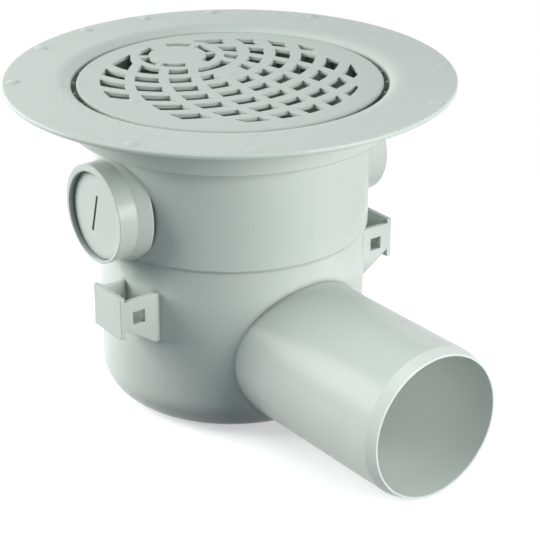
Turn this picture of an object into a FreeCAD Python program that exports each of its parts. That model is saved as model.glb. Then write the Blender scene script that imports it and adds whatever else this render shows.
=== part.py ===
import FreeCAD, Part
import math
import os

# Floor drain with a round grate, a lift-out water trap and a horizontal outlet.
# Millimetres. Origin on the drain's axis at its flat bottom, +Z up, outlet along +X.

# Overall body
height = 166.0
wall = 2.6
upper_od = 138.0
lower_od = 134.6
step_z = 90.7
step_h = 2.0
corner_r = 18.0

# Flange and grate well
flange_d = 223.0
flange_t = 2.5
flange_edge = 0.9
underside_r = 4.0
lip_w = 8.0
lip_drop = 4.0
well_depth = 19.7
grate_gap = 2.4
pip_d = 7.2
pip_h = 0.9
pip_inset = 5.7
pip_angles = (30.0, 60.0, 120.0, 150.0, 170.0)

# Ribs that centre and carry the grate
rib_count = 30
rib_w = 1.2
rib_clearance = 0.7
rib_seat_w = 4.0

# Grate
grate_d = 151.0
grate_t = 4.5
grate_drop = 2.0
grate_edge = 1.2
field_r = 63.8
ring_x = -50.3
ring_y = -0.9
ring_r = 37.25
ring_pitch = 13.07
ring_w = 5.7
ring_count = 6
spoke_near_x = -25.2
spoke_near_step = 9.8
spoke_far_x = 106.2
spoke_line_y = 10.6
spoke_sagitta = 17.05
spoke_first_bow = -15.35
spoke_w = 5.0
spokes_all = (-3, -2, -1, 0, 1, 2, 3, 4)
spokes_cut_short = (0, 1)
eye_x = -46.3
eye_r = 14.6
slit_w = 4.8
slit_half_angle = 21.0
slit_angles = (40.0, 90.0, 144.0)
eye_ring_w = 4.6
boss_x = -5.8
boss_y = 4.2
boss_r = 8.5
pad_right_x = -4.5
pad_right_y = 63.6
pad_right_r = 7.6
pad_left_x = 5.0
pad_left_y = -61.5
pad_left_r = 9.5
mark_right_x = -5.0
mark_right_y = 60.5
mark_left_x = 0.3
mark_left_y = -56.3
mark_d = 6.4
mark_h = 0.5
sliver_side = 3.74

# Outlet pipe
outlet_od = 75.0
outlet_wall = 2.6
outlet_z = 39.8
outlet_reach = 92.7
outlet_chamfer = 6.0
outlet_lead = 1.7
outlet_root = 1.2
outlet_root_l = 2.7

# Side inlets and their plugs
inlet_od = 49.2
inlet_z = 112.0
inlet_reach = 12.4
inlet_wall = 2.4
inlet_drop = 1.3
inlet_mouth = 9.0
inlet_bore = 29.0
inlet_root = 3.2
inlet_root_l = 7.0
plug_recess = 2.7
plug_clearance = 0.2
plug_face_t = 2.6
plug_rim_t = 4.2
plug_groove_w = 2.2
plug_groove_d = 1.6
plug_groove_back = 1.6
slot_l = 20.0
slot_w = 1.6
slot_d = 0.8
slot_tilt = 15.0
slot_shift = 2.6

# Bracket pockets beside the inlets
bracket_x = 14.3
bracket_w = 23.8
bracket_reach = 16.8
bracket_t = 2.4
bracket_top = 77.1
bracket_bottom = 55.7
bracket_side_drop = 2.4
bracket_toe = 4.3
bracket_slope = 0.65
bracket_hole = 6.7
bracket_hole_out = 6.5
bracket_hole_z = 65.1

# Water trap
trap_clearance = 0.3
rim_h = 4.8
rim_w = 6.1
rim_groove_w = 2.6
rim_groove_d = 2.0
rim_groove_z = 0.9
cone_drop = 10.0
cone_t = 2.4
tube_od = 48.0
tube_wall = 2.2
tube_end_z = 22.0
bar_w = 8.0
bar_h = 5.0
bar_span = 116.0
bar_gap = 4.2
water_seal = 50.0
cup_od = 76.0
cup_wall = 2.0
cup_floor_z = 10.0
cup_corner = 8.0
cup_flange_w = 3.4
cup_flange_t = 2.0
hook_count = 3
hook_w = 8.0
hook_t = 2.2
hook_gap = 0.4
hook_toe_gap = 1.2
hook_toe_t = 2.4
notch_play = 1.0
seal_squeeze = 0.05

# Sizes that follow from the ones above
upper_r = upper_od / 2
lower_r = lower_od / 2
upper_in = upper_r - wall
lower_in = lower_r - wall
pip_r = flange_d / 2 - pip_inset
grate_r = grate_d / 2
well_r = grate_r + grate_gap
collar_r = well_r + wall
ledge_z = height - well_depth
seat_z = step_z + wall / 2
grate_top = height - grate_drop
grate_under = grate_top - grate_t
ring_centre = (ring_x, ring_y)
eye_centre = (eye_x, 0.0)
boss_centre = (boss_x, boss_y)
pad_right = (pad_right_x, pad_right_y)
pad_left = (pad_left_x, pad_left_y)
mark_right = (mark_right_x, mark_right_y)
mark_left = (mark_left_x, mark_left_y)
outlet_end = lower_r + outlet_reach
inlet_end = upper_r + inlet_reach
bracket_end = lower_r + bracket_reach
bracket_hole_y = lower_r + bracket_hole_out
inlet_mouth_r = inlet_od / 2 - inlet_wall
inlet_seat = inlet_end - inlet_mouth
inlet_mouth_z = inlet_z - inlet_drop
rim_r = upper_in - trap_clearance
rim_in = rim_r - rim_w
tube_r = tube_od / 2
tube_in = tube_r - tube_wall
cup_r = cup_od / 2
cup_rim_z = tube_end_z + water_seal
overlap = 1.0

UP = FreeCAD.Vector(0, 0, 1)
ORIGIN = FreeCAD.Vector(0, 0, 0)


def vec(x, y, z):
    return FreeCAD.Vector(x, y, z)


def line(a, b):
    return Part.makeLine(vec(a[0], 0, a[1]), vec(b[0], 0, b[1]))


def chain(points):
    return [line(a, b) for a, b in zip(points[:-1], points[1:])]


def quarter(start, end, centre):
    # quarter of an ellipse in the radius-height plane, about the given centre
    bulge = 4.0 / 3.0 * (math.sqrt(2) - 1)
    a = (start[0] + end[0] - centre[0], start[1] + end[1] - centre[1])
    pole_1 = [start[i] + (a[i] - start[i]) * bulge for i in (0, 1)]
    pole_2 = [end[i] + (a[i] - end[i]) * bulge for i in (0, 1)]
    curve = Part.BezierCurve()
    curve.setPoles([vec(p[0], 0, p[1]) for p in (start, pole_1, pole_2, end)])
    return curve.toShape()


def arc(start, end, centre):
    # circular quarter in the radius-height plane
    r = math.hypot(start[0] - centre[0], start[1] - centre[1])
    mid = [(start[i] + end[i]) / 2 - centre[i] for i in (0, 1)]
    k = r / math.hypot(*mid)
    m = [centre[i] + mid[i] * k for i in (0, 1)]
    return Part.Arc(vec(start[0], 0, start[1]), vec(m[0], 0, m[1]), vec(end[0], 0, end[1])).toShape()


def revolve(edges):
    return Part.Face(Part.Wire(edges)).revolve(ORIGIN, UP, 360)


def polar(r, deg, z=0.0):
    a = math.radians(deg)
    return vec(r * math.cos(a), r * math.sin(a), z)


def turned(shape, deg):
    copy = shape.copy()
    copy.rotate(ORIGIN, UP, deg)
    return copy


def mirrored(shape):
    return shape.mirror(ORIGIN, vec(0, 1, 0))


def cap(centre, diameter, rise):
    # low spherical pip standing on a flat face
    r = diameter / 2
    ball_r = (r * r + rise * rise) / (2 * rise)
    ball = Part.makeSphere(ball_r, centre + vec(0, 0, rise - ball_r))
    keep = Part.makeCylinder(r, rise + overlap / 2, centre - vec(0, 0, overlap / 2), UP)
    return ball.common(keep)


def body_outside():
    c = corner_r
    flange_r = flange_d / 2
    under = height - flange_t
    u = underside_r
    e = flange_edge
    edges = chain([(0, 0), (lower_r - c, 0)])
    edges.append(arc((lower_r - c, 0), (lower_r, c), (lower_r - c, c)))
    edges += chain([(lower_r, c), (lower_r, step_z - step_h), (upper_r, step_z), (upper_r, ledge_z - wall),
                    (collar_r, ledge_z - wall), (collar_r, under - u)])
    edges.append(arc((collar_r, under - u), (collar_r + u, under), (collar_r + u, under - u)))
    edges += chain([(collar_r + u, under), (flange_r - e, under)])
    edges.append(arc((flange_r - e, under), (flange_r, under + e), (flange_r - e, under + e)))
    edges += chain([(flange_r, under + e), (flange_r, height - e)])
    edges.append(arc((flange_r, height - e), (flange_r - e, height), (flange_r - e, height - e)))
    edges += chain([(flange_r - e, height), (0, height), (0, 0)])
    return revolve(edges)


def body_inside():
    c = corner_r - wall
    lip_z = height - lip_drop
    lip_r = well_r + lip_w
    over = height + overlap
    edges = chain([(0, wall), (lower_in - c, wall)])
    edges.append(arc((lower_in - c, wall), (lower_in, wall + c), (lower_in - c, wall + c)))
    edges += chain([(lower_in, wall + c), (lower_in, seat_z), (upper_in, seat_z), (upper_in, ledge_z),
                    (well_r, ledge_z), (well_r, lip_z)])
    edges.append(quarter((well_r, lip_z), (lip_r, height), (lip_r, lip_z)))
    edges += chain([(lip_r, height), (lip_r, over), (0, over), (0, wall)])
    return revolve(edges)


def outlet_outside():
    r = outlet_od / 2
    start = vec(0, 0, outlet_z)
    straight = outlet_end - outlet_chamfer
    pipe = Part.makeCylinder(r, straight, start, vec(1, 0, 0))
    nose = Part.makeCone(r, r - outlet_lead, outlet_chamfer, start + vec(straight, 0, 0), vec(1, 0, 0))
    root_start = lower_in - corner_r
    root_length = lower_r + outlet_root_l - root_start
    root = Part.makeCone(r + outlet_root, r, root_length, start + vec(root_start, 0, 0), vec(1, 0, 0))
    return pipe.fuse([root, nose])


def outlet_bore():
    start = lower_in - corner_r
    length = outlet_end - start + overlap
    return Part.makeCylinder(outlet_od / 2 - outlet_wall, length, vec(start, 0, outlet_z), vec(1, 0, 0))


def inlet_outside():
    along = vec(0, -1, 0)
    r = inlet_od / 2
    socket = Part.makeCylinder(r, inlet_end, vec(0, 0, inlet_z), along)
    root = Part.makeCone(r + inlet_root, r, inlet_root_l, vec(0, -lower_in, inlet_z), along)
    return socket.fuse(root)


def inlet_inside():
    along = vec(0, -1, 0)
    mouth = Part.makeCylinder(inlet_mouth_r, inlet_mouth + overlap, vec(0, -inlet_seat, inlet_mouth_z), along)
    start = upper_in - wall - overlap
    bore = Part.makeCylinder(inlet_bore / 2, inlet_seat - start + overlap, vec(0, -start, inlet_mouth_z), along)
    return mouth.fuse(bore)


def bracket():
    # open pocket of two side plates and an end plate, on the -Y side
    left = bracket_x - bracket_w / 2
    inner = lower_in
    plate_y = bracket_end - bracket_t
    corner = vec(left, -bracket_end, bracket_bottom)
    end_plate = Part.makeBox(bracket_w, bracket_t, bracket_top - bracket_bottom, corner)
    top = bracket_top - bracket_side_drop
    low = bracket_bottom + bracket_toe
    low_in = low - (plate_y - inner) * bracket_slope
    root = inner - wall * 2
    outline = [(plate_y, top), (root, top), (root, low_in), (inner, low_in), (plate_y, low)]
    points = [vec(left, -y, z) for y, z in outline]
    side = Part.Face(Part.makePolygon(points + points[:1])).extrude(vec(bracket_t, 0, 0))
    far_side = side.translated(vec(bracket_w - bracket_t, 0, 0))
    h = bracket_hole
    hole_corner = vec(left - overlap, -bracket_hole_y - h / 2, bracket_hole_z - h / 2)
    hole = Part.makeBox(bracket_w + 2 * overlap, h, h, hole_corner)
    return end_plate.fuse([side, far_side]).cut(hole)


def well_rib():
    # upright rib: a low inner part under the grate's border and a taller outer part beside it
    inner = grate_r + rib_clearance
    seat = inner - rib_clearance - rib_seat_w
    outer = well_r + wall / 2
    tall = height - lip_drop
    base = ledge_z - wall / 2
    outline = [(seat, base), (outer, base), (outer, tall), (inner, tall)]
    outline += [(inner, grate_under), (seat, grate_under)]
    points = [vec(r, -rib_w / 2, z) for r, z in outline]
    return Part.Face(Part.makePolygon(points + points[:1])).extrude(vec(0, rib_w, 0))


def drain_body():
    inlet_out = inlet_outside()
    socket_in = inlet_inside()
    pocket = bracket()
    solid = body_outside().fuse([outlet_outside(), inlet_out, mirrored(inlet_out), pocket, mirrored(pocket)])
    solid = solid.cut(body_inside())
    solid = solid.cut([outlet_bore(), socket_in, mirrored(socket_in)])
    rib = well_rib()
    extra = [turned(rib, (i + 0.5) * 360.0 / rib_count) for i in range(rib_count)]
    for angle in pip_angles:
        for side in (1, -1):
            extra.append(cap(polar(pip_r, side * angle, height), pip_d, pip_h))
    return solid.fuse(extra).removeSplitter()


def disc(centre, r):
    edge = Part.makeCircle(r, vec(centre[0], centre[1], 0))
    return Part.Face(Part.Wire(edge))


def band(centre, r, width):
    return disc(centre, r + width / 2).cut(disc(centre, r - width / 2))


def spoke_band(number):
    # curved bar on a circle through a near point and the far point; the near point steps back bar by bar
    bow = spoke_first_bow + spoke_sagitta * number
    near_x = spoke_near_x - spoke_near_step * abs(bow) / spoke_sagitta
    half = (spoke_far_x - near_x) / 2
    radius = (half * half + bow * bow) / (2 * abs(bow))
    side = math.copysign(1.0, bow)
    centre = (near_x + half, spoke_line_y + bow - side * radius)
    corners = [(near_x, -spoke_w), (near_x + 2 * half, -spoke_w)]
    corners += [(near_x + 2 * half, abs(bow) + spoke_w), (near_x, abs(bow) + spoke_w)]
    points = [vec(x, spoke_line_y + side * y, 0) for x, y in corners]
    window = Part.Face(Part.makePolygon(points + points[:1]))
    return band(centre, radius, spoke_w).common(window)


def slit(angle):
    mid = eye_r + slit_w / 2
    ring = band(eye_centre, mid, slit_w)
    far = 2 * eye_r + slit_w
    points = [vec(eye_centre[0], eye_centre[1], 0)]
    for turn in (-slit_half_angle, 0, slit_half_angle):
        points.append(polar(far, angle + turn) + points[0])
    wedge = Part.Face(Part.makePolygon(points + points[:1]))
    return ring.common(wedge)


def grate_openings():
    field = disc((0, 0), field_r)
    closed = [disc(boss_centre, boss_r), disc(pad_right, pad_right_r), disc(pad_left, pad_left_r)]
    rings = [band(ring_centre, ring_r + i * ring_pitch, ring_w) for i in range(ring_count)]
    inner_zone = disc(ring_centre, ring_r)
    eye_zone = disc(eye_centre, eye_r + slit_w + eye_ring_w)
    spokes = {n: spoke_band(n) for n in spokes_all}
    long_spokes = [spokes[n] for n in spokes_all if n not in spokes_cut_short]
    outer = field.cut([inner_zone] + rings + list(spokes.values()) + closed)
    inner = field.common(inner_zone).cut([eye_zone] + rings + long_spokes)
    faces = [f for f in outer.Faces + inner.Faces if f.Area > sliver_side ** 2]
    for angle in slit_angles:
        for side in (1, -1):
            faces += slit(side * angle).Faces
    return faces


def grate():
    e = grate_edge
    edges = chain([(0, grate_under), (grate_r, grate_under), (grate_r, grate_top - e)])
    edges.append(arc((grate_r, grate_top - e), (grate_r - e, grate_top), (grate_r - e, grate_top - e)))
    edges += chain([(grate_r - e, grate_top), (0, grate_top), (0, grate_under)])
    plate = revolve(edges)
    depth = vec(0, 0, grate_t + 2 * overlap)
    lift = vec(0, 0, grate_under - overlap)
    plate = plate.cut([f.translated(lift).extrude(depth) for f in grate_openings()])
    marks = [cap(vec(x, y, grate_top), mark_d, mark_h) for x, y in (boss_centre, mark_right, mark_left)]
    return plate.fuse(marks).removeSplitter()


def cone_z(r):
    # underside of the funnel's sloped plate at a radius
    return seat_z - cone_drop * (rim_in - r) / (rim_in - tube_r)


def trap_funnel():
    groove_low = seat_z + rim_groove_z
    groove_high = groove_low + rim_groove_w
    groove_r = rim_r - rim_groove_d
    rim_top = seat_z + rim_h
    tube = [(tube_in, tube_end_z), (tube_r, tube_end_z), (tube_r, cone_z(tube_r))]
    rim_outer = [(rim_in, seat_z), (rim_r, seat_z)]
    groove = [(rim_r, groove_low), (groove_r, groove_low), (groove_r, groove_high), (rim_r, groove_high)]
    rim_inner = [(rim_r, rim_top), (rim_in + cone_t, rim_top), (rim_in, seat_z + cone_t)]
    bowl = [(tube_in, cone_z(tube_in) + cone_t), (tube_in, tube_end_z)]
    funnel = revolve(chain(tube + rim_outer + groove + rim_inner + bowl))
    half = bar_span / 2
    post = half - rim_w
    low = cone_z(half) + cone_t / 4
    bar_under = seat_z + rim_h + bar_gap
    bar_top = bar_under + bar_h
    bridge = [(-half, low), (-half, bar_top), (half, bar_top), (half, low)]
    bridge += [(post, low), (post, bar_under), (-post, bar_under), (-post, low)]
    points = [vec(-bar_w / 2, y, z) for y, z in bridge]
    bar = Part.Face(Part.makePolygon(points + points[:1])).extrude(vec(bar_w, 0, 0))
    hook = cup_hook()
    hooks = [turned(hook, (i + 0.5) * 360.0 / hook_count) for i in range(hook_count)]
    return funnel.fuse([bar] + hooks).removeSplitter()


def cup_hook():
    arm_in = cup_r + cup_flange_w + hook_gap
    arm_out = arm_in + hook_t
    toe_in = cup_r + hook_toe_gap
    toe_top = cup_rim_z - cup_flange_t
    top = cone_z(arm_in) + cone_t / 2
    toe_under = toe_top - hook_toe_t
    outline = [(toe_in, toe_under), (arm_out, toe_under), (arm_out, top)]
    outline += [(arm_in, top), (arm_in, toe_top), (toe_in, toe_top)]
    points = [vec(r, -hook_w / 2, z) for r, z in outline]
    return Part.Face(Part.makePolygon(points + points[:1])).extrude(vec(0, hook_w, 0))


def trap_cup():
    c = cup_corner
    f = cup_floor_z
    inside = cup_r - cup_wall
    floor_in = f + cup_wall
    flange_r = cup_r + cup_flange_w
    flange_low = cup_rim_z - cup_flange_t
    edges = chain([(0, f), (cup_r - c, f)])
    edges.append(arc((cup_r - c, f), (cup_r, f + c), (cup_r - c, f + c)))
    edges += chain([(cup_r, f + c), (cup_r, flange_low), (flange_r, flange_low),
                    (flange_r, cup_rim_z), (inside, cup_rim_z), (inside, f + c)])
    edges.append(arc((inside, f + c), (cup_r - c, floor_in), (cup_r - c, f + c)))
    edges += chain([(cup_r - c, floor_in), (0, floor_in), (0, f)])
    cup = revolve(edges)
    width = hook_w + 2 * notch_play
    notch = Part.makeBox(cup_flange_w + overlap, width, cup_flange_t + 2 * overlap,
                         vec(cup_r + seal_squeeze, -width / 2, flange_low - overlap))
    return cup.cut([turned(notch, i * 360.0 / hook_count) for i in range(hook_count)])


def ring_between(inner, outer):
    # round rubber ring that fills a groove from its floor to the wall around it
    section = (outer - inner) / 2 - seal_squeeze
    return Part.makeTorus((outer + inner) / 2, section)


def trap_seal():
    ring = ring_between(rim_r - rim_groove_d, upper_in)
    return ring.translated(vec(0, 0, seat_z + rim_groove_z + rim_groove_w / 2))


def plug_place(shape, side):
    # from a plug standing along +Z on its back face to its place in an inlet
    placed = shape.copy()
    placed.rotate(ORIGIN, vec(1, 0, 0), 90)
    placed.translate(vec(0, -inlet_seat, inlet_mouth_z))
    return placed if side < 0 else turned(placed, 180)


def inlet_plug(side):
    length = inlet_mouth - plug_recess
    r = inlet_mouth_r - plug_clearance
    groove_r = r - plug_groove_d
    pocket_r = r - plug_rim_t
    floor = length - plug_face_t
    low = plug_groove_back
    high = low + plug_groove_w
    back = [(0, floor), (pocket_r, floor), (pocket_r, 0), (r, 0)]
    groove = [(r, low), (groove_r, low), (groove_r, high), (r, high)]
    face = [(r, length), (0, length), (0, floor)]
    plug = revolve(chain(back + groove + face))
    slot = Part.makeBox(slot_w, slot_l, slot_d + overlap, vec(-slot_w / 2, -slot_l / 2, length - slot_d))
    slot = turned(slot, -slot_tilt).translated(vec(-slot_shift, 0, 0))
    return plug_place(plug.cut(slot), side)


def plug_seal(side):
    groove_r = inlet_mouth_r - plug_clearance - plug_groove_d
    ring = ring_between(groove_r, inlet_mouth_r)
    return plug_place(ring.translated(vec(0, 0, plug_groove_back + plug_groove_w / 2)), side)


def main():
    os.makedirs("parts", exist_ok=True)
    nodes = {
        "drain_body": drain_body(),
        "grate": grate(),
        "trap_funnel": trap_funnel(),
        "trap_cup": trap_cup(),
        "trap_seal": trap_seal(),
        "inlet_plug_left": inlet_plug(-1),
        "inlet_plug_right": inlet_plug(1),
        "plug_seal_left": plug_seal(-1),
        "plug_seal_right": plug_seal(1),
    }
    for name, shape in nodes.items():
        shape.exportStep("parts/" + name + ".step")


main()
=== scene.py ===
from math import cos, radians, sin
import bmesh
import bpy
from bpy.props import FloatProperty, FloatVectorProperty, IntProperty, PointerProperty
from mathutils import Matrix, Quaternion, Vector


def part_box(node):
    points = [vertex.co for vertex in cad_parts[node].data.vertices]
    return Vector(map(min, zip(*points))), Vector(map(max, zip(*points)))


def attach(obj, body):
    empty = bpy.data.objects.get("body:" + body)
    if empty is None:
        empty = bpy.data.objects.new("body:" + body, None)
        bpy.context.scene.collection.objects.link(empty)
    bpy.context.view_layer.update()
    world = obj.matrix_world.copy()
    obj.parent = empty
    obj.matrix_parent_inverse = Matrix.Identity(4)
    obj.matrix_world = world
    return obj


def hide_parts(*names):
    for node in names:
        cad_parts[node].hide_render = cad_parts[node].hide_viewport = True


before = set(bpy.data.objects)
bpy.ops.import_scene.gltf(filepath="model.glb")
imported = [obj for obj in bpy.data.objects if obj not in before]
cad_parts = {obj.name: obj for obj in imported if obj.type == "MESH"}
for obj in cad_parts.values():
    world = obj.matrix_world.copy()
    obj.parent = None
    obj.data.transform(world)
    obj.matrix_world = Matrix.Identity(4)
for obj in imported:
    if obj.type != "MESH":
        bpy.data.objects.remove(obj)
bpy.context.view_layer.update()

bl_info = {
    "name": "Floor drain",
    "version": (1, 0, 0),
    "blender": (4, 5, 0),
    "location": "3D View > Sidebar > Drain",
    "description": "Finishes a moulded floor drain and sets up its studio",
    "category": "Object",
}

MM = 0.001

# Surface of the plastics
SLOW_SHARE = 0.7
# Reach of the painted shade that darkens the colour in gaps and inner corners.
PAINTED_SHADE_REACH = 3.0 * MM
GRAIN_HEIGHT = 0.05 * MM
SCATTER_DEPTH = 2.0 * MM
SPECULAR_LEVEL = 0.3
PLUG_DULLNESS = 0.05

# Making of the grate's plate
WELD_DISTANCE = 0.001 * MM
UNDERSIDE_BAND = 0.1 * MM
SKIRT_OVERLAP = 0.2 * MM
SKIRT_STEPS = 96
CREASE_ANGLE = radians(30.0)

# Making of the ejector marks
MARK_STEPS = 40
BEAD_STEPS = 8

# Studio
DRAIN_MIDDLE = Vector((0.02, 0.0, 0.09))
OUTLET_MOUTH = Vector((0.15, 0.0, 0.042))
LAMP_COLOUR = (1.0, 1.0, 0.97)
# Only this share of the left light shows in reflections.
LEFT_MIRRORED_SHARE = 0.4
FILL_COLOUR = (0.45, 0.85, 1.0, 1.0)
WHITE = (1.0, 1.0, 1.0, 1.0)
FLOOR_BOUNCE = (0.15, 0.17, 0.17, 1.0)
FLOOR_PAPER = (0.90, 0.90, 0.90, 1.0)
FLOOR_GLOW = 0.5
FLOOR_STEPS = 96
CAMERA_PLACE = Vector((0.7167, -0.5093, 0.4597))
CAMERA_DIRECTION = Vector((-0.7303, 0.5438, -0.4136))
TOWARD_CAMERA = Vector((0.815, -0.579, 0.0))
SENSOR_WIDTH_MM = 36.0
UP = Vector((0.0, 0.0, 1.0))


class DrainPlasticSettings(bpy.types.PropertyGroup):
    body_colour: FloatVectorProperty(
        name="Body colour", description="Colour of the moulded body and its plugs",
        subtype="COLOR", size=3, min=0.0, max=1.0, default=(0.655, 0.695, 0.665))
    grate_colour: FloatVectorProperty(
        name="Grate colour", description="Colour of the grate",
        subtype="COLOR", size=3, min=0.0, max=1.0, default=(0.655, 0.695, 0.665))
    # The trap's near-black colour also paints in the shade deep inside the well under the grate.
    trap_colour_and_painted_shade: FloatVectorProperty(
        name="Trap colour and painted shade", description="Colour of the lift-out water trap",
        subtype="COLOR", size=3, min=0.0, max=1.0, default=(0.05, 0.055, 0.055))
    rubber_colour: FloatVectorProperty(
        name="Rubber colour", description="Colour of the sealing rings",
        subtype="COLOR", size=3, min=0.0, max=1.0, default=(0.02, 0.02, 0.021))
    body_roughness: FloatProperty(
        name="Body roughness", description="Mean roughness of the body's satin face",
        subtype="FACTOR", min=0.0, max=1.0, default=0.28)
    grate_roughness: FloatProperty(
        name="Grate roughness", description="Mean roughness of the grate's matt face",
        subtype="FACTOR", min=0.0, max=1.0, default=0.48)
    edge_radius: FloatProperty(
        name="Edge radius", description="Softness of the moulded edges, twice as much on the body",
        subtype="DISTANCE", unit="LENGTH", min=0.0, max=0.002, default=0.45 * MM)


class GrateSettings(bpy.types.PropertyGroup):
    underside_lift: FloatProperty(
        name="Underside lift", description="How far the plate's underside lies above the seat",
        subtype="DISTANCE", unit="LENGTH", min=0.0, max=0.004, default=2.5 * MM)
    skirt_inset: FloatProperty(
        name="Skirt inset", description="Distance of the skirt under the plate from the plate's edge",
        subtype="DISTANCE", unit="LENGTH", min=0.0, default=3.2 * MM)
    skirt_wall: FloatProperty(
        name="Skirt wall", description="Wall of the skirt that stands on the seat",
        subtype="DISTANCE", unit="LENGTH", min=0.0, default=1.6 * MM)


class WitnessMarkSettings(bpy.types.PropertyGroup):
    count: IntProperty(
        name="Marks", description="Ejector marks round the underside of the flange",
        min=3, max=64, default=16)
    circle_radius: FloatProperty(
        name="Circle radius", description="Radius of the circle that the marks stand on",
        subtype="DISTANCE", unit="LENGTH", default=97.0 * MM)
    mark_radius: FloatProperty(
        name="Mark radius", description="Radius of one ejector mark",
        subtype="DISTANCE", unit="LENGTH", default=4.0 * MM)
    bead_radius: FloatProperty(
        name="Bead radius", description="Radius of the fine raised line round a mark",
        subtype="DISTANCE", unit="LENGTH", default=0.16 * MM)
    plane_z: FloatProperty(
        name="Underside height", description="Height of the flange's underside",
        subtype="DISTANCE", unit="LENGTH", default=163.5 * MM)


class DrainStageSettings(bpy.types.PropertyGroup):
    left_power: FloatProperty(
        name="Left light", description="Power of the soft light on the left",
        subtype="POWER", unit="POWER", min=0.0, default=6.3)
    right_power: FloatProperty(
        name="Right light", description="Power of the soft light on the right",
        subtype="POWER", unit="POWER", min=0.0, default=4.7)
    top_power: FloatProperty(
        name="Top light", description="Power of the soft light above",
        subtype="POWER", unit="POWER", min=0.0, default=0.48)
    back_power: FloatProperty(
        name="Back light", description="Power of the low, soft light behind",
        subtype="POWER", unit="POWER", min=0.0, default=2.5)
    outlet_power: FloatProperty(
        name="Outlet light", description="Power of the narrow light into the outlet's mouth",
        subtype="POWER", unit="POWER", min=0.0, default=12.0)
    fill: FloatProperty(
        name="Fill", description="Strength of the even light all round", min=0.0, default=0.12)
    floor_radius: FloatProperty(
        name="Floor radius", description="Radius at which the floor has faded into the white background",
        subtype="DISTANCE", unit="LENGTH", default=0.40)
    lens: FloatProperty(
        name="Lens", description="Focal length on a 36 mm sensor, in millimetres", default=125.2)


def new_material(name):
    """An empty material, in place of an older one of that name."""
    old = bpy.data.materials.get(name)
    if old is not None:
        bpy.data.materials.remove(old)
    material = bpy.data.materials.new(name)
    material.use_nodes = True
    material.node_tree.nodes.clear()
    return material


def feed(tree, socket, value):
    """Links an input to another node's output, or sets it to a plain value."""
    if isinstance(value, bpy.types.NodeSocket):
        tree.links.new(value, socket)
    else:
        socket.default_value = value


def add(tree, kind, feeds=None, **properties):
    """A new node with its properties set, and the inputs named in feeds linked or set."""
    node = tree.nodes.new(kind)
    for key, value in properties.items():
        setattr(node, key, value)
    for key, value in (feeds or {}).items():
        feed(tree, node.inputs[key], value)
    return node


def calculate(tree, operation, *values, clamp=False):
    """The output of a Math node that works on plain values and other nodes' outputs."""
    node = add(tree, "ShaderNodeMath", operation=operation, use_clamp=clamp)
    for socket, value in zip(node.inputs, values):
        feed(tree, socket, value)
    return node.outputs[0]


def melt_flow(group, given):
    """Slow mottling and fine grain mixed, which swing about zero, and the fine grain alone."""
    place = add(group, "ShaderNodeTexCoord").outputs["Object"]
    slow = add(group, "ShaderNodeTexNoise", {"Vector": place, "Scale": given["Mottle size"], "Detail": 3.0})
    fine = add(group, "ShaderNodeTexNoise", {"Vector": place, "Scale": given["Grain size"], "Detail": 2.0})
    grain = fine.outputs["Fac"]
    fine_part = calculate(group, "MULTIPLY", grain, 1.0 - SLOW_SHARE)
    mixed = calculate(group, "MULTIPLY_ADD", slow.outputs["Fac"], SLOW_SHARE, fine_part)
    return calculate(group, "SUBTRACT", mixed, 0.5), grain


def painted_crevice_shade(group, given):
    """Painted shade: one on open faces, and less in narrow gaps and inner corners, where it darkens the
    colour.
    """
    openness = add(group, "ShaderNodeAmbientOcclusion", {"Distance": PAINTED_SHADE_REACH}, samples=8)
    closed = calculate(group, "SUBTRACT", openness.outputs["AO"], 1.0)
    return calculate(group, "MULTIPLY_ADD", closed, given["Painted crevice shade"], 1.0, clamp=True)


def moulded_surface_group():
    """Fine grain, slow mottling, soft edges and painted shade in crevices, shared by all the plastics."""
    name = "Moulded surface"
    group = bpy.data.node_groups.get(name)
    if group is not None:
        return group
    group = bpy.data.node_groups.new(name, "ShaderNodeTree")
    inputs = (
        ("Colour", "NodeSocketColor", (0.7, 0.7, 0.7, 1.0)),
        ("Mottle", "NodeSocketFloat", 0.03),
        ("Mottle size", "NodeSocketFloat", 22.0),
        ("Grain size", "NodeSocketFloat", 1600.0),
        ("Roughness", "NodeSocketFloat", 0.4),
        ("Roughness spread", "NodeSocketFloat", 0.06),
        ("Grain depth", "NodeSocketFloat", 0.015),
        ("Edge radius", "NodeSocketFloat", 0.4 * MM),
        # Strength of the painted shade in gaps and inner corners.
        ("Painted crevice shade", "NodeSocketFloat", 0.8),
    )
    for label, kind, value in inputs:
        socket = group.interface.new_socket(name=label, in_out="INPUT", socket_type=kind)
        socket.default_value = value
    outputs = (
        ("Colour", "NodeSocketColor"),
        ("Roughness", "NodeSocketFloat"),
        ("Normal", "NodeSocketVector"),
    )
    for label, kind in outputs:
        group.interface.new_socket(name=label, in_out="OUTPUT", socket_type=kind)
    given = add(group, "NodeGroupInput").outputs
    flow, grain = melt_flow(group, given)
    # Brightness runs a little above and below the colour as the melt flowed.
    mottle = calculate(group, "MULTIPLY", given["Mottle"], 2.0)
    brightness = calculate(group, "MULTIPLY_ADD", flow, mottle, 1.0)
    # Painted shade: the colour is darkened in narrow gaps and inner corners.
    mottle_and_painted_shade = calculate(group, "MULTIPLY", brightness, painted_crevice_shade(group, given))
    tint = add(group, "ShaderNodeVectorMath", {0: given["Colour"], "Scale": mottle_and_painted_shade}, operation="SCALE")
    rough = calculate(group, "MULTIPLY_ADD", flow, given["Roughness spread"], given["Roughness"], clamp=True)
    soft = add(group, "ShaderNodeBevel", {"Radius": given["Edge radius"]}, samples=6)
    bump = add(group, "ShaderNodeBump", {
        "Strength": given["Grain depth"], "Distance": GRAIN_HEIGHT,
        "Height": grain, "Normal": soft.outputs["Normal"],
    })
    add(group, "NodeGroupOutput", {
        "Colour": tint.outputs[0], "Roughness": rough, "Normal": bump.outputs["Normal"],
    })
    return group


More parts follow.
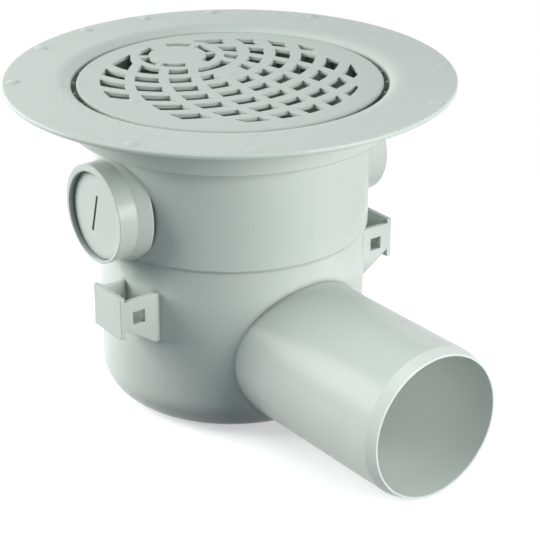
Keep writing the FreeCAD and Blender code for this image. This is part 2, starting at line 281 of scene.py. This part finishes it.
def plastic(name, colour, values, subsurface=0.3):
    """A plastic whose colour, roughness and normal come from the shared moulded surface, with painted shade
    in its crevices.
    """
    material = new_material(name)
    tree = material.node_tree
    surface = add(tree, "ShaderNodeGroup", node_tree=moulded_surface_group())
    surface.inputs["Colour"].default_value = (*colour, 1.0)
    for key, value in values.items():
        surface.inputs[key].default_value = value
    shader = add(tree, "ShaderNodeBsdfPrincipled", {
        "Base Color": surface.outputs["Colour"], "Roughness": surface.outputs["Roughness"],
        "Normal": surface.outputs["Normal"], "Specular IOR Level": SPECULAR_LEVEL,
        "Subsurface Weight": subsurface, "Subsurface Radius": (1.0, 1.0, 1.0),
        "Subsurface Scale": SCATTER_DEPTH,
    })
    add(tree, "ShaderNodeOutputMaterial", {"Surface": shader.outputs["BSDF"]})
    return material


def finish_node(node, material):
    """Gives a CAD node its finish in place of the plain one."""
    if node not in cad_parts:
        raise RuntimeError("The packed model has no node named " + node)
    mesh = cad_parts[node].data
    mesh.materials.clear()
    mesh.materials.append(material)


class DRAIN_OT_finish_body(bpy.types.Operator):
    """Give the moulded body its satin plastic"""
    bl_idname = "drain.finish_body"
    bl_label = "Finish body"

    def execute(self, context):
        look = context.scene.drain_plastic
        values = {"Roughness": look.body_roughness, "Edge radius": 2 * look.edge_radius}
        finish_node("drain_body", plastic("Satin body plastic", look.body_colour, values))
        return {"FINISHED"}


def add_ring(shape, inner, outer, low, high, steps):
    """Adds a plain upright ring about the drain's axis to a shape."""
    corners = ((inner, low), (outer, low), (outer, high), (inner, high))
    rows = []
    for step in range(steps):
        turn = radians(360.0 * step / steps)
        rows.append([shape.verts.new((r * cos(turn), r * sin(turn), z)) for r, z in corners])
    for row, following in zip(rows, rows[1:] + rows[:1]):
        for side in range(4):
            other = (side + 1) % 4
            shape.faces.new((row[side], following[side], following[other], row[other]))


def thin_grate(node, lift, inset, wall):
    """A copy of the grate with a thin plate, which stands on a skirt under its border."""
    low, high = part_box(node)
    shape = bmesh.new()
    shape.from_mesh(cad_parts[node].data)
    bmesh.ops.remove_doubles(shape, verts=shape.verts, dist=WELD_DISTANCE)
    underside = [vertex for vertex in shape.verts if vertex.co.z < low[2] + UNDERSIDE_BAND]
    if not underside:
        raise RuntimeError("No underside was found on the node " + node)
    for vertex in underside:
        vertex.co.z += lift
    skirt_radius = (high[0] - low[0]) / 2 - inset
    skirt_top = low[2] + lift + SKIRT_OVERLAP
    add_ring(shape, skirt_radius - wall, skirt_radius, low[2], skirt_top, SKIRT_STEPS)
    mesh = bpy.data.meshes.new("grate_plate")
    shape.to_mesh(mesh)
    shape.free()
    # The solid's own normals no longer fit the joined corners, so creases are found by angle.
    if mesh.has_custom_normals:
        mesh.attributes.remove(mesh.attributes["custom_normal"])
    mesh.shade_smooth()
    mesh.set_sharp_from_angle(angle=CREASE_ANGLE)
    piece = bpy.data.objects.new("grate_plate", mesh)
    bpy.context.scene.collection.objects.link(piece)
    # Wide faces keep their flat shading beside the rounded edge.
    flat_faces = piece.modifiers.new("Flat faces", "WEIGHTED_NORMAL")
    flat_faces.keep_sharp = True
    return piece


class DRAIN_OT_finish_grate(bpy.types.Operator):
    """Give the grate its thin plate and its matt plastic"""
    bl_idname = "drain.finish_grate"
    bl_label = "Finish grate"

    def execute(self, context):
        look = context.scene.drain_plastic
        plate = context.scene.drain_grate
        values = {"Roughness": look.grate_roughness, "Edge radius": look.edge_radius, "Grain depth": 0.05}
        material = plastic("Matt grate plastic", look.grate_colour, values, subsurface=0.05)
        piece = thin_grate("grate", plate.underside_lift, plate.skirt_inset, plate.skirt_wall)
        piece.data.materials.append(material)
        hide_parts("grate")
        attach(piece, "root")
        return {"FINISHED"}


class DRAIN_OT_finish_plugs(bpy.types.Operator):
    """Give both inlet plugs their satin plastic"""
    bl_idname = "drain.finish_plugs"
    bl_label = "Finish plugs"

    def execute(self, context):
        look = context.scene.drain_plastic
        values = {"Roughness": look.body_roughness + PLUG_DULLNESS, "Edge radius": look.edge_radius}
        material = plastic("Satin plug plastic", look.body_colour, values)
        finish_node("inlet_plug_left", material)
        finish_node("inlet_plug_right", material)
        return {"FINISHED"}


class DRAIN_OT_finish_trap(bpy.types.Operator):
    """Give the lift-out trap its near-black matt plastic, whose colour also paints in the shade deep inside
    the well
    """
    bl_idname = "drain.finish_trap"
    bl_label = "Finish trap"

    def execute(self, context):
        look = context.scene.drain_plastic
        values = {"Roughness": look.grate_roughness, "Edge radius": look.edge_radius, "Mottle": 0.05}
        # The near-black trap paints in the shade deep inside the well.
        material = plastic("Matt trap plastic", look.trap_colour_and_painted_shade, values)
        finish_node("trap_funnel", material)
        finish_node("trap_cup", material)
        return {"FINISHED"}


class DRAIN_OT_finish_seals(bpy.types.Operator):
    """Give the sealing rings their black rubber"""
    bl_idname = "drain.finish_seals"
    bl_label = "Finish seals"

    def execute(self, context):
        look = context.scene.drain_plastic
        values = {"Roughness": 0.7, "Mottle": 0.15, "Grain depth": 0.15, "Grain size": 2600.0}
        material = plastic("Seal rubber", look.rubber_colour, values, subsurface=0.0)
        for node in ("trap_seal", "plug_seal_left", "plug_seal_right"):
            finish_node(node, material)
        return {"FINISHED"}


def witness_mark_tree():
    """Rings of fine bead that stand on a circle at a height."""
    tree = bpy.data.node_groups.new("Ejector marks", "GeometryNodeTree")
    face = tree.interface
    face.new_socket(name="Geometry", in_out="OUTPUT", socket_type="NodeSocketGeometry")
    face.new_socket(name="Count", in_out="INPUT", socket_type="NodeSocketInt")
    for label in ("Circle radius", "Mark radius", "Bead radius", "Height"):
        face.new_socket(name=label, in_out="INPUT", socket_type="NodeSocketFloat")
    face.new_socket(name="Material", in_out="INPUT", socket_type="NodeSocketMaterial")
    given = add(tree, "NodeGroupInput").outputs
    stations = add(tree, "GeometryNodeMeshCircle", {
        "Vertices": given["Count"], "Radius": given["Circle radius"],
    })
    lift = add(tree, "ShaderNodeCombineXYZ", {"Z": given["Height"]})
    raised = add(tree, "GeometryNodeSetPosition", {
        "Geometry": stations.outputs["Mesh"], "Offset": lift.outputs[0],
    })
    ring = add(tree, "GeometryNodeCurvePrimitiveCircle", {
        "Resolution": MARK_STEPS, "Radius": given["Mark radius"],
    })
    bead = add(tree, "GeometryNodeCurvePrimitiveCircle", {
        "Resolution": BEAD_STEPS, "Radius": given["Bead radius"],
    })
    mark = add(tree, "GeometryNodeCurveToMesh", {
        "Curve": ring.outputs["Curve"], "Profile Curve": bead.outputs["Curve"],
    })
    placed = add(tree, "GeometryNodeInstanceOnPoints", {
        "Points": raised.outputs["Geometry"], "Instance": mark.outputs["Mesh"],
    })
    real = add(tree, "GeometryNodeRealizeInstances", {"Geometry": placed.outputs["Instances"]})
    painted = add(tree, "GeometryNodeSetMaterial", {
        "Geometry": real.outputs["Geometry"], "Material": given["Material"],
    })
    add(tree, "NodeGroupOutput", {"Geometry": painted.outputs["Geometry"]})
    return tree


def bake_tree(name, tree, values):
    """Evaluates a node tree with its named inputs and returns the result as a plain mesh object."""
    maker = bpy.data.objects.new(name + "_maker", bpy.data.meshes.new(name + "_maker"))
    bpy.context.scene.collection.objects.link(maker)
    modifier = maker.modifiers.new("Nodes", "NODES")
    modifier.node_group = tree
    for item in tree.interface.items_tree:
        if item.item_type == "SOCKET" and item.in_out == "INPUT" and item.name in values:
            modifier[item.identifier] = values[item.name]
    evaluated = maker.evaluated_get(bpy.context.evaluated_depsgraph_get())
    mesh = bpy.data.meshes.new_from_object(evaluated)
    mesh.name = name
    bpy.data.objects.remove(maker)
    piece = bpy.data.objects.new(name, mesh)
    bpy.context.scene.collection.objects.link(piece)
    return piece


class DRAIN_OT_witness_marks(bpy.types.Operator):
    """Add the ejector marks under the flange"""
    bl_idname = "drain.witness_marks"
    bl_label = "Ejector marks"

    def execute(self, context):
        marks = context.scene.drain_witness
        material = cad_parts["drain_body"].data.materials[0]
        values = {
            "Count": marks.count, "Circle radius": marks.circle_radius, "Mark radius": marks.mark_radius,
            "Bead radius": marks.bead_radius, "Height": marks.plane_z, "Material": material,
        }
        piece = bake_tree("flange_ejector_marks", witness_mark_tree(), values)
        if len(piece.data.polygons) == 0:
            raise RuntimeError("The ejector marks came out empty")
        piece.data.shade_smooth()
        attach(piece, "root")
        return {"FINISHED"}


def seen_directly(tree):
    """One for rays from the camera, in reflections and in glass, and nothing for the light on things."""
    path = add(tree, "ShaderNodeLightPath").outputs
    mirrored = calculate(tree, "MAXIMUM", path["Is Glossy Ray"], path["Is Transmission Ray"])
    return calculate(tree, "MAXIMUM", path["Is Camera Ray"], mirrored)


def floor_material(radius):
    """Pale floor that keeps the shadow, fades into the background at its rim and is clear from below."""
    material = new_material("Studio floor")
    tree = material.node_tree
    place = add(tree, "ShaderNodeTexCoord").outputs["Object"]
    reach = add(tree, "ShaderNodeVectorMath", {0: place}, operation="LENGTH")
    fade = add(tree, "ShaderNodeMapRange", {
        "Value": reach.outputs["Value"], "From Min": 0.5 * radius, "From Max": radius,
    }, interpolation_type="SMOOTHSTEP")
    bounce = add(tree, "ShaderNodeBsdfDiffuse", {"Color": FLOOR_BOUNCE})
    paper = add(tree, "ShaderNodeBsdfDiffuse", {"Color": FLOOR_PAPER})
    glow = add(tree, "ShaderNodeEmission", {"Strength": FLOOR_GLOW})
    lit = add(tree, "ShaderNodeAddShader", {0: paper.outputs["BSDF"], 1: glow.outputs["Emission"]})
    shown = add(tree, "ShaderNodeMixShader", {
        "Fac": seen_directly(tree), 1: bounce.outputs["BSDF"], 2: lit.outputs["Shader"],
    })
    side = add(tree, "ShaderNodeNewGeometry")
    gone = calculate(tree, "MAXIMUM", fade.outputs["Result"], side.outputs["Backfacing"])
    clear = add(tree, "ShaderNodeBsdfTransparent")
    mix = add(tree, "ShaderNodeMixShader", {
        "Fac": gone, 1: shown.outputs["Shader"], 2: clear.outputs["BSDF"],
    })
    add(tree, "ShaderNodeOutputMaterial", {"Surface": mix.outputs["Shader"]})
    return material


def studio_floor(radius):
    """Round floor under the drain."""
    bpy.ops.mesh.primitive_circle_add(vertices=FLOOR_STEPS, radius=radius, fill_type="NGON")
    floor = bpy.context.active_object
    floor.name = "studio_floor"
    floor.data.materials.append(floor_material(radius))


def studio_world(fill):
    """Even, slightly cool light all round, behind a background that is seen as white."""
    world = bpy.data.worlds.new("Studio")
    bpy.context.scene.world = world
    world.use_nodes = True
    tree = world.node_tree
    tree.nodes.clear()
    even = add(tree, "ShaderNodeBackground", {"Color": FILL_COLOUR, "Strength": fill})
    white = add(tree, "ShaderNodeBackground", {"Color": WHITE, "Strength": 1.0})
    mix = add(tree, "ShaderNodeMixShader", {
        "Fac": seen_directly(tree), 1: even.outputs["Background"], 2: white.outputs["Background"],
    })
    add(tree, "ShaderNodeOutputWorld", {"Surface": mix.outputs["Shader"]})


def around_drain(turn, rise, distance):
    """A place at a distance from the drain, turned to the right of the camera and raised, both in degrees."""
    level = Quaternion(UP, radians(turn)) @ TOWARD_CAMERA
    return DRAIN_MIDDLE + distance * (level * cos(radians(rise)) + UP * sin(radians(rise)))


def lamp_at(name, kind, place, target, power):
    """A lamp of a kind at a place, aimed at a target."""
    data = bpy.data.lights.new(name, kind)
    data.energy = power
    data.color = LAMP_COLOUR
    lamp = bpy.data.objects.new(name, data)
    bpy.context.scene.collection.objects.link(lamp)
    lamp.location = place
    lamp.rotation_mode = "QUATERNION"
    lamp.rotation_quaternion = (target - place).to_track_quat("-Z", "Y")
    return lamp


def area_light(name, place, size, power, mirrored=True):
    """A soft light on the drain, which can be kept out of its reflections."""
    lamp = lamp_at(name, "AREA", place, DRAIN_MIDDLE, power)
    lamp.data.size = size
    lamp.visible_glossy = mirrored


def snoot_light(name, place, target, angle, power):
    """A narrow light on one spot."""
    lamp = lamp_at(name, "SPOT", place, target, power)
    lamp.data.spot_size = radians(angle)
    lamp.data.spot_blend = 0.8
    lamp.data.shadow_soft_size = 0.04


def studio_lights(stage):
    """Soft lights on both sides, above and behind, and a narrow one into the outlet."""
    left = around_drain(turn=-96.0, rise=20.0, distance=0.75)
    mirrored_power = LEFT_MIRRORED_SHARE * stage.left_power
    area_light("left_light", left, size=0.45, power=mirrored_power)
    area_light("left_matt_light", left, size=0.45, power=stage.left_power - mirrored_power, mirrored=False)
    right = around_drain(turn=50.0, rise=15.0, distance=0.75)
    area_light("right_light", right, size=0.40, power=stage.right_power)
    top = around_drain(turn=0.0, rise=72.0, distance=0.50)
    area_light("top_light", top, size=0.25, power=stage.top_power)
    back = around_drain(turn=180.0, rise=8.0, distance=0.75)
    area_light("back_light", back, size=0.60, power=stage.back_power, mirrored=False)
    front = around_drain(turn=12.0, rise=6.0, distance=0.75)
    snoot_light("outlet_light", front, OUTLET_MOUTH, angle=9.0, power=stage.outlet_power)


def studio_camera(lens):
    """Camera that looks down on the grate and into the outlet."""
    data = bpy.data.cameras.new("Camera")
    data.sensor_width = SENSOR_WIDTH_MM
    data.lens = lens
    camera = bpy.data.objects.new("Camera", data)
    bpy.context.scene.collection.objects.link(camera)
    camera.location = CAMERA_PLACE
    camera.rotation_mode = "QUATERNION"
    camera.rotation_quaternion = CAMERA_DIRECTION.to_track_quat("-Z", "Y")
    bpy.context.scene.camera = camera


class DRAIN_OT_stage(bpy.types.Operator):
    """Set up the floor, the lights and the camera"""
    bl_idname = "drain.stage"
    bl_label = "Studio"

    def execute(self, context):
        stage = context.scene.drain_stage
        studio_floor(stage.floor_radius)
        studio_world(stage.fill)
        studio_lights(stage)
        studio_camera(stage.lens)
        context.scene.view_settings.view_transform = "Standard"
        return {"FINISHED"}


class DRAIN_PT_panel(bpy.types.Panel):
    bl_label = "Floor drain"
    bl_idname = "DRAIN_PT_panel"
    bl_space_type = "VIEW_3D"
    bl_region_type = "UI"
    bl_category = "Drain"

    def draw(self, context):
        for settings in [getattr(context.scene, name) for name in SETTINGS]:
            column = self.layout.column()
            for key in settings.bl_rna.properties.keys():
                if key not in ("rna_type", "name"):
                    column.prop(settings, key)
        for name in STEPS:
            self.layout.operator(name)


SETTINGS = {
    "drain_plastic": DrainPlasticSettings, "drain_grate": GrateSettings,
    "drain_witness": WitnessMarkSettings, "drain_stage": DrainStageSettings,
}

STEPS = (
    "drain.stage", "drain.finish_body", "drain.finish_grate", "drain.finish_plugs", "drain.finish_trap",
    "drain.finish_seals", "drain.witness_marks",
)

CLASSES = (
    *SETTINGS.values(), DRAIN_OT_stage, DRAIN_OT_finish_body, DRAIN_OT_finish_grate, DRAIN_OT_finish_plugs,
    DRAIN_OT_finish_trap, DRAIN_OT_finish_seals, DRAIN_OT_witness_marks, DRAIN_PT_panel,
)


def register():
    for item in CLASSES:
        bpy.utils.register_class(item)
    for name, kind in SETTINGS.items():
        setattr(bpy.types.Scene, name, PointerProperty(type=kind))


def unregister():
    for name in SETTINGS:
        delattr(bpy.types.Scene, name)
    for item in reversed(CLASSES):
        bpy.utils.unregister_class(item)


def main():
    register()
    bpy.ops.drain.stage()
    bpy.ops.drain.finish_body()
    bpy.ops.drain.finish_grate()
    bpy.ops.drain.finish_plugs()
    bpy.ops.drain.finish_trap()
    bpy.ops.drain.finish_seals()
    bpy.ops.drain.witness_marks()


if __name__ == "__main__":
    main()
